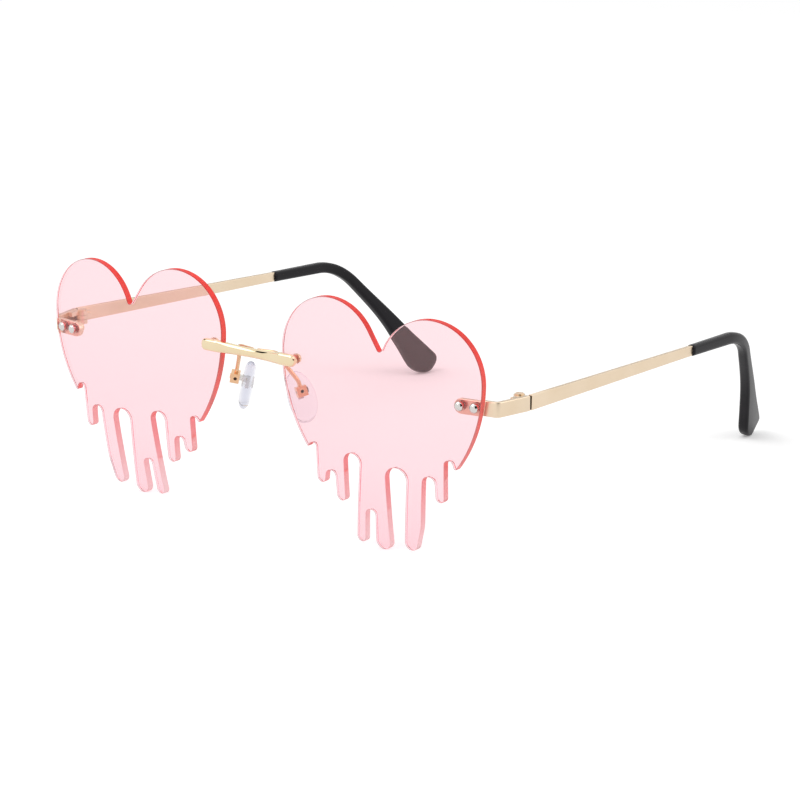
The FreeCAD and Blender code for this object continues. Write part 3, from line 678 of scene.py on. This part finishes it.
def round_nut(place, depth):
    """A ring with rounded edges: one profile out along the front, over the rim, and in through the bore."""
    low, high, soft, cut = depth, depth + NUT_HIGH, NUT_SOFT, NUT_ROUND_SHARE * NUT_SOFT
    bore = SHANK + NUT_PLAY
    radii = [bore, NUT - soft, NUT - cut, NUT, NUT, NUT - cut, NUT - soft, bore + soft, bore]
    alongs = [low, low, low + cut, low + soft, high - soft, high - cut, high, high, high - soft]
    rows = spun(radii, alongs)
    index = np.arange(rows.size // 3).reshape(rows.shape[:2])
    return placed(rows.reshape(-1, 3), place), [band_quads(np.concatenate([index, index[:1]]))]


def ear_seats():
    """Places of the two screws in the outer side of a lens."""
    turn, spot = seat(EAR_U, 0, EAR_RISE)
    return [(turn, spot + turn @ np.array((x, 0, 0))) for x in EAR_PAIR]


EAR_DEPTH = PLATE_DEPTH + STRIP
POST_SEAT = seat(POST_U, POST_RISE)
for side, sign in SIDES.items():
    piece(side + "_lens_screws", [dome_screw(place, EAR_DEPTH + NUT_HIGH) for place in ear_seats()],
          "front", ["lens_screw_" + side], STEEL, sign)
    piece(side + "_lens_nuts", [round_nut(place, EAR_DEPTH) for place in ear_seats()],
          "front", ["lens_nut_" + side], POLISHED, sign)
    piece(side + "_bridge_nut", [round_nut(POST_SEAT, PLATE_DEPTH)],
          "front", ["bridge_nut_" + side], POLISHED, sign)


# Bridge

def bridge_shell():
    """Rings across the bridge: a round bar that slopes forward, flattens and ends in a flat round plate.

    Each ring is a rectangle with round corners between a front and a back line, as high as the bridge there.
    From the middle to the plate they change with the square of the way along, the back a little sooner.
    The plate's back keeps clear of the lens, and its front and its outline close over its rim and its end.
    """
    along = np.linspace(0, PLATE_FROM, BAR_STEPS)
    flow = (along / PLATE_FROM) ** 2
    half = BAR_HALF + (PLATE_HALF - BAR_HALF) * flow
    front = -BAR_FRONT + (BAR_FRONT - PLATE_FRONT) * flow
    back = BAR_BACK + (PLATE_BACK - BAR_BACK) * (along / PLATE_FROM) ** BACK_POWER
    corner = BAR_ROUND_SHARE + (PLATE_ROUND_SHARE - BAR_ROUND_SHARE) * flow
    corner = corner * np.minimum(half, (back - front) / 2)
    plate = np.concatenate([PLATE_ROWS, PLATE_END - PLATE_CORNER * (1 - np.sin(CORNER_ANGLES))])
    tall = PLATE_HALF - PLATE_CORNER * np.concatenate([[0] * len(PLATE_ROWS), 1 - np.cos(CORNER_ANGLES)])
    left = np.clip(PLATE_END - plate, 0, PLATE_RIM)
    rim = PLATE_RIM - np.sqrt(PLATE_RIM ** 2 - (PLATE_RIM - left) ** 2)
    u = (plate - LENS_X) / math.cos(math.radians(LENS_WRAP))
    rest = (u * u + POST_RISE ** 2) / (2 * LENS_BALL) + u * math.tan(math.radians(LENS_WRAP))
    x = np.concatenate([along, plate])
    middle = np.concatenate([BAR_Z + BAR_DROP * flow, PLATE_Z + 0 * plate])
    half = np.concatenate([half, tall])
    front = np.concatenate([front, -PLATE_FRONT + rim])
    back = np.concatenate([back, np.minimum(rest - PLATE_PLAY, PLATE_BACK)])
    corner = np.concatenate([corner, np.minimum(PLATE_SOFT, PLATE_TALL_SHARE * tall)])
    corner = np.minimum(corner, PLATE_DEEP_SHARE * (back - front) / 2)
    deep, tall = rounded_ring((back - front) / 2, half, corner)
    rows = np.stack([x[:, None] + 0 * deep, (front + back)[:, None] / 2 + deep, middle[:, None] + tall], -1)
    return loft(np.concatenate([rows[:0:-1] * (-1, 1, 1), rows]))


def bridge_post(sign):
    """The post behind a plate, a straight pin through the lens."""
    end = PLATE_DEPTH + NUT_HIGH
    points, faces = turned([SHANK, SHANK, SHANK - SHANK_CHAMFER], [-POST_SUNK, end - SHANK_CHAMFER, end],
                           POST_SEAT)
    return points * (sign, 1, 1), faces


piece("bridge_bar", [bridge_shell(), bridge_post(1), bridge_post(-1)], "front", ["bridge"],
      POLISHED)


# Nose pads and their wire arms

def bent_path(spots, share=0.45, steps=9):
    """Straight runs through spots with a round bend, an arc that touches both runs, at every inner one."""
    path = [np.array(spots[0])[None]]
    for before, spot, after in zip(spots, spots[1:], spots[2:]):
        way_in, way_out = np.subtract(spot, before), np.subtract(after, spot)
        lead = share * min(np.linalg.norm(way_in), np.linalg.norm(way_out))
        way_in, way_out = unit(way_in), unit(way_out)
        angle = math.acos(way_in @ way_out)
        radius = lead / math.tan(angle / 2)
        inward = unit(way_out - way_in * (way_in @ way_out))
        a = np.linspace(0, angle, steps)[:, None]
        path.append(spot - way_in * lead + radius * (np.sin(a) * way_in + (1 - np.cos(a)) * inward))
    return np.concatenate(path + [np.array(spots[-1])[None]])


def wire(path, radius, around=16):
    """A round wire: circles square to the path at each of its points."""
    way = unit(np.gradient(path, axis=0))
    side = unit(np.cross(way, (0, 1, 0)))
    up = np.cross(side, way)
    angle = once_round(around)[None, :, None]
    return loft(path[:, None] + radius * (np.cos(angle) * side[:, None] + np.sin(angle) * up[:, None]))


def nose_arm():
    """The wire arm: out from behind the bar, over its crest, down to the box."""
    lead, top = placed(np.array([[0, 0, BOX_HIGH], [0, 0, BOX_HIGH / 2 - ARM_SUNK]]), PAD_PLACE)
    return wire(bent_path([ARM_START, ARM_CREST, ARM_BEND, lead, top]), WIRE)


def arm_boss():
    """The riveted end of the arm behind the box, a low spun collar round a hole, and a mark of painted shade
    on the hole.
    """
    points, (quads, fans) = turned(BOSS_RADII, BOSS_DEPTHS, PAD_PLACE)
    around = len(fans) // 2
    dark = np.zeros(len(quads) + len(fans))
    dark[len(quads) - around:len(quads)] = 1
    dark[-around:] = 1
    return (points, [quads, fans]), dark


def pad_shell():
    """An egg shaped pad: ovals stacked through its thickness, swelling from the back, domed at the front.

    The mark, for painted shade at the rim, grows from nought to one where an oval comes within a tenth of the
    widest one.
    """
    angle = once_round(PAD_AROUND)[None]
    t = np.linspace(PAD_POLE, math.pi - PAD_POLE, PAD_ROWS)[:, None]
    full = np.sin(t) ** PAD_EDGE_POWER
    dome = np.sign(np.cos(t)) * np.abs(np.cos(t)) ** PAD_DOME_POWER
    depth = PAD_GAP + PAD_THICK / 2 - PAD_THICK / 2 * dome
    up = np.sin(angle)
    across = PAD_WIDE / 2 * np.cos(angle) * (1 - PAD_EGG_SHARE * up) * full
    tall = PAD_TALL / 2 * up * full - PAD_BELOW
    points, (quads, fans) = loft(np.stack([across, depth + 0 * angle, tall], -1))
    rim = np.clip(1 - (1 - (full[:-1] + full[1:]) / 2) / PAD_RIM_SHARE, 0, 1) + 0 * angle
    return (placed(points, PAD_PLACE), [quads, fans]), np.concatenate([rim.ravel(), np.zeros(len(fans))])


for side, sign in SIDES.items():
    body = "nose_pad_" + side
    arm, (boss, dark) = nose_arm(), arm_boss()
    dark = np.concatenate([np.zeros(sum(map(len, arm[1]))), dark])
    # The arm's mark paints shade in the boss's hole
    piece(side + "_nose_arm", [arm, boss], "front", ["nose_arm_" + side], ROSY, sign,
          marks={"painted_shade": dark})
    # The pad's mark paints shade in cool grey at its rim
    pad, rim = pad_shell()
    piece(side + "_nose_pad", [pad], body, [body], SILICONE, sign,
          sharp=60, marks={"painted_rim_shade": rim})


# End pieces, temples and tips

def end_piece_shell():
    """A flat strip: a round end behind the lens, a bend, then a flare back to the hinge joint.

    Rings stand square to the path, lower near the start as a half circle closes, and shrink at the joint.
    """
    place = seat(EAR_U, 0, EAR_RISE)
    first = placed(np.array([[EAR_START, PLATE_DEPTH + STRIP / 2, 0]]), place)[0]
    along = place[0] @ np.array((1, 0, 0))
    corner = first + along * (EAR_CORNER - first[0]) / along[0]
    joint = np.array((TEMPLE_SPOT[0], TEMPLE_SPOT[1] - JOINT_HALF, first[2]))
    path = bent_path([first, corner, joint], EAR_BEND_SHARE, EAR_BEND_STEPS)
    ends = joint - unit(joint - path[-2]) * np.array(SOFT_AT)[::-1, None]
    path = np.concatenate([first + along * np.array(EAR_ROUND_AT)[:, None], path[1:-1], ends])
    start = np.linalg.norm(path - first, axis=1)
    half = STRIP_HALF * np.sqrt(1 - (1 - np.minimum(start / STRIP_HALF, 1)) ** 2)
    inset = np.concatenate([np.zeros(len(path) - len(SOFT_IN)), SOFT_IN[::-1]])
    way = unit(np.gradient(path, axis=0))
    side = np.cross(way, (0, 0, 1))
    a, b = rounded_ring(STRIP / 2 - inset, half - inset, np.minimum(STRIP_CORNER, CORNER_SHARE * half))
    rows = path[:, None] + a[:, :, None] * side[:, None] + b[:, :, None] * np.array((0, 0, 1))
    rows[..., 2] += TEMPLE_SPOT[2] - first[2]
    return loft(rows)


def temple_shell():
    """A flat strip that tapers to the sleeve, its core in the sleeve, and a mark of painted shade on its sawn
    joint end.
    """
    strip_at = [*(np.array(SOFT_AT) + JOINT_HALF), *TEMPLE_AT, SLEEVE - SLEEVE_EDGE, SLEEVE]
    along = np.array([*strip_at, SLEEVE, SLEEVE + CORE_LONG])
    inset = np.concatenate([SOFT_IN, np.zeros(len(along) - len(SOFT_IN))])
    core = np.arange(len(along)) >= len(strip_at)
    full = STRIP_HALF - (STRIP_HALF - TEMPLE_END_HALF) * along / SLEEVE
    half = np.where(core, CORE_HALF, full - inset)
    across, tall = rounded_ring(TEMPLE_THIN - inset, half, np.where(core, CORE_CORNER, TEMPLE_CORNER))
    points, (quads, fans) = loft(np.stack([CORE_X + across, along[:, None] + 0 * across, tall], -1))
    dark = np.zeros(len(quads) + len(fans))
    dark[len(quads):-len(fans) // 2] = 1
    return (placed(points, TEMPLE_PLACE), [quads, fans]), dark


def tip_line(s):
    """Points and ways along the tip, straight, round a bend, then straight down and in, and its length."""
    down, inward = math.radians(LEG_DOWN), math.radians(LEG_IN)
    ahead = np.array((0.0, 1.0, 0.0))
    leg = np.array((-math.sin(inward) * math.cos(down), math.cos(inward) * math.cos(down), -math.sin(down)))
    bend = math.acos(leg @ ahead)
    lead = BEND_ROUND * math.tan(bend / 2)
    run, arc = BEND_AT - lead - SLEEVE, BEND_ROUND * bend
    curl = (leg - ahead * (leg @ ahead)) / math.sin(bend)
    s = s[:, None]
    a = np.clip((s - run) / BEND_ROUND, 0, bend)
    spot = np.array((CORE_X, SLEEVE, 0)) + ahead * np.clip(s, 0, run)
    spot = spot + BEND_ROUND * (ahead * np.sin(a) + curl * (1 - np.cos(a)))
    spot = spot + leg * np.clip(s - run - arc, 0, None)
    return spot, ahead * np.cos(a) + curl * np.sin(a), run + arc + LEG_LONG - lead


def tip_shell():
    """The tip: a socket for the core, a rounded lip, then flat sided rings that flare to a blunt round end.

    Front, rear and sides each keep their own curve, and close over the last stretch as a rounded corner does.
    """
    long = tip_line(np.zeros(1))[2]
    share = np.concatenate([LIP_SHARES, RUN_SHARES, END_SHARES])
    spot, way, _ = tip_line(share * long)
    side = unit(np.array((1.0, 0, 0)) - way * way[:, :1])
    up = np.cross(side, way)
    lip = np.concatenate([LIP_IN, np.zeros(len(share) - len(LIP_IN))])
    reach = []
    for shape, end in zip((TIP_FRONTS, TIP_REARS, TIP_SIDES), TIP_ROUNDS):
        near = np.clip(1 - (1 - share) * long / end, 0, 1)
        reach.append(smooth_through(share, TIP_ALONG, shape) * np.sqrt(1 - near ** 2) - lip)
    front, rear, thick = reach
    wide = (front + rear) / 2
    a, b = rounded_ring(thick, wide, np.minimum(TIP_CORNER, CORNER_SHARE * np.minimum(thick, wide)))
    b = b + (rear - front)[:, None] / 2
    rows = spot[:, None] + a[:, :, None] * side[:, None] + b[:, :, None] * up[:, None]
    across, tall = rounded_ring([TEMPLE_THIN + CORE_PLAY] * 2, [CORE_HALF + CORE_PLAY] * 2, [CORE_CORNER] * 2)
    along = np.array([SLEEVE + CORE_LONG + CORE_PLAY, SLEEVE])[:, None]
    socket = np.stack([CORE_X + across, along + 0 * across, tall], -1)
    points, faces = loft(np.concatenate([socket, rows]))
    return placed(points, TEMPLE_PLACE), faces


for side, sign in SIDES.items():
    body = "temple_" + side
    strip, dark = temple_shell()
    # The temple's mark paints shade on its joint end, in the hinge gap
    piece(side + "_temple", [strip], body, [body], SATIN, sign, marks={"painted_shade": dark})
    piece(side + "_temple_tip", [tip_shell()], body, ["temple_tip_" + side], ACETATE, sign,
          sharp=50)
    piece(side + "_end_piece", [end_piece_shell()], "front", ["end_piece_" + side], SATIN, sign)
    # Small parts of the hinge and the nose pad
    softened("hinge_front", side, "front", SATIN, LEAF_ROUND)
    softened("hinge_rear", side, body, SATIN, LEAF_ROUND)
    softened("hinge_screw", side, "front", SATIN, SCREW_ROUND)
    softened("pad_box", side, "front", ROSY, BOX_ROUND)
    # The pad screw is painted dark brown: painted shade where its ends show as dark holes in the box
    softened("pad_screw", side, "front", SHADE_DARK_STEEL, SCREW_ROUND)
    softened("pad_mount", side, "nose_pad_" + side, STEEL, SCREW_ROUND)
    # The bushings keep their CAD shape
    for node in ("lens_bushing_" + side, "bridge_bushing_" + side):
        NODES[node].data.materials.clear()
        NODES[node].data.materials.append(NYLON)


# Floor, light and camera

def white_floor():
    """Matt white paper: takes the soft shadow, and lifts to white for what the eye, metal and glass see."""
    made, tree, out, place = blank("matt white paper")
    fibre = add(tree, "TexNoise", {"Scale": per_mm(30), "Detail": 2.0}, {"Vector": place})
    tone = colour_run(tree, fibre.outputs["Fac"], (0, "#F4F4F4"), (1, "#F7F7F7"))
    paper = add(tree, "BsdfDiffuse", None, {"Color": tone})
    ray = add(tree, "LightPath")
    lift = add(tree, "Math", {1: 0.25}, {0: ray.outputs["Is Camera Ray"]}, operation="MULTIPLY")
    for kind, level in (("Is Transmission Ray", 0.13), ("Is Glossy Ray", 0.08)):
        lift = add(tree, "Math", {1: level}, {0: ray.outputs[kind], 2: lift.outputs[0]},
                   operation="MULTIPLY_ADD")
    glow = add(tree, "Emission", {"Color": linear("#FFFFFF")}, {"Strength": lift.outputs[0]})
    both = add(tree, "AddShader", None, {0: paper.outputs[0], 1: glow.outputs[0]})
    tree.links.new(both.outputs[0], out.inputs["Surface"])
    return made


def black_felt():
    """Black felt on a card: all but lightless, with a faint nap."""
    made, tree, out, place = blank("black felt")
    nap = add(tree, "TexNoise", {"Scale": per_mm(4), "Detail": 2.0}, {"Vector": place})
    tone = colour_run(tree, nap.outputs["Fac"], (0, "#050505"), (1, "#0C0C0C"))
    felt = add(tree, "BsdfDiffuse", None, {"Color": tone})
    tree.links.new(felt.outputs[0], out.inputs["Surface"])
    return made


def white_world():
    """A white room: strength 1 for what is seen in it, less for the light that it throws."""
    world = bpy.data.worlds.new("white room")
    bpy.context.scene.world = world
    world.use_nodes = True
    tree = world.node_tree
    tree.nodes.clear()
    ray = add(tree, "LightPath")
    seen = ray.outputs["Is Camera Ray"]
    for kind in ("Is Glossy Ray", "Is Transmission Ray"):
        seen = add(tree, "Math", None, {0: seen, 1: ray.outputs[kind]}, operation="MAXIMUM").outputs[0]
    level = add(tree, "MapRange", {"To Min": 0.7, "To Max": 1.0}, {"Value": seen})
    sky = add(tree, "Background", {"Color": linear("#FFFFFF")}, {"Strength": level.outputs[0]})
    out = add(tree, "OutputWorld")
    tree.links.new(sky.outputs[0], out.inputs["Surface"])


def stage_sheet(name, corners, material):
    """A flat sheet of the stage between four corners in metres."""
    mesh = bpy.data.meshes.new(name)
    mesh.from_pydata([tuple(corner) for corner in corners], [], [(0, 1, 2, 3)])
    mesh.materials.append(material)
    made = bpy.data.objects.new(name, mesh)
    bpy.context.scene.collection.objects.link(made)
    return made


def card(name, near, way, away, across, wide, high):
    """A felt card, so far from a spot and square to the way there, that shows only in the shine of things."""
    way = unit(np.array(way))
    across = unit(np.array(across) - way * (way @ np.array(across)))
    up = np.cross(way, across)
    middle = np.array(near) + way * away + (0, FRONT_SHIFT, 0)
    corners = [(middle + x * wide / 2 * across + y * high / 2 * up) * MM for x, y in SQUARE]
    made = stage_sheet(name, corners, FELT)
    made.visible_camera = False
    made.visible_diffuse = False
    made.visible_transmission = False
    made.visible_shadow = False


def soft_lamp(name, spot, size, watts):
    """A square soft lamp that looks at the glasses, with its spot and size in metres."""
    data = bpy.data.lights.new(name, "AREA")
    data.shape = "SQUARE"
    data.size = size
    data.energy = watts
    lamp = bpy.data.objects.new(name, data)
    lamp.location = spot
    lamp.rotation_euler = (Vector(LAMP_AIM) - Vector(spot)).to_track_quat("-Z", "Y").to_euler()
    bpy.context.scene.collection.objects.link(lamp)


# Corners of a square, and half the floor and the aim of the lamps in metres
SQUARE = ((-1, -1), (1, -1), (1, 1), (-1, 1))
FLOOR_HALF, LAMP_AIM = 6, (0, 0, 0.03)
FELT = black_felt()
white_world()
stage_sheet("floor", [(x * FLOOR_HALF, y * FLOOR_HALF, 0) for x, y in SQUARE], white_floor())
# Cards for the dark dash on the bridge, the dark spots on the screw heads and the shade on the far side
card("felt card over the front", near=(3.55, 0.15, BAR_Z + 0.75), way=(-0.793, -0.191, 0.578), away=150,
     across=(1, 0, 0), wide=29, high=84)
card("felt card by the screws", near=(60, 0, LINE_Z), way=(0.8, -0.35, 0.42), away=40,
     across=(0, 1, 0), wide=40, high=40)
card("felt card behind", near=(60, 50, LINE_Z), way=(-0.59, 0.76, 0.24), away=600,
     across=(1, 0, 0), wide=700, high=60)
soft_lamp("key lamp", spot=(-0.5, -0.7, 1.1), size=0.9, watts=5.0)
soft_lamp("fill lamp", spot=(0.9, 0.3, 0.8), size=0.7, watts=2.0)

# Camera fitted to the photograph: focal length in pixels of its frame, angles, offsets and distance
FRAME_PIXELS, FOCAL_PIXELS, SENSOR = 800, 3072.904, 36.0
AZIMUTH, HEIGHT = math.radians(37.63), math.radians(15.144)
ACROSS, UP, AWAY, AIM_Z = -34.097, 6.979, 699.485, 36.56
right = np.array((math.cos(AZIMUTH), math.sin(AZIMUTH), 0))
level = math.cos(HEIGHT)
back = np.array((math.sin(AZIMUTH) * level, -math.cos(AZIMUTH) * level, math.sin(HEIGHT)))
above = np.cross(back, right)
camera_data = bpy.data.cameras.new("camera")
camera_data.sensor_width = SENSOR
camera_data.lens = FOCAL_PIXELS / FRAME_PIXELS * SENSOR
camera = bpy.data.objects.new("camera", camera_data)
camera.location = Vector((back * AWAY - right * ACROSS - above * UP + (0, FRONT_SHIFT, AIM_Z)) * MM)
camera.rotation_euler = Vector(-back).to_track_quat("-Z", "Y").to_euler()
scene = bpy.context.scene
scene.collection.objects.link(camera)
scene.camera = camera
scene.view_settings.view_transform = "Standard"
scene.cycles.max_bounces = 32
scene.cycles.transmission_bounces = 28
scene.cycles.glossy_bounces = 28
scene.cycles.transparent_max_bounces = 32
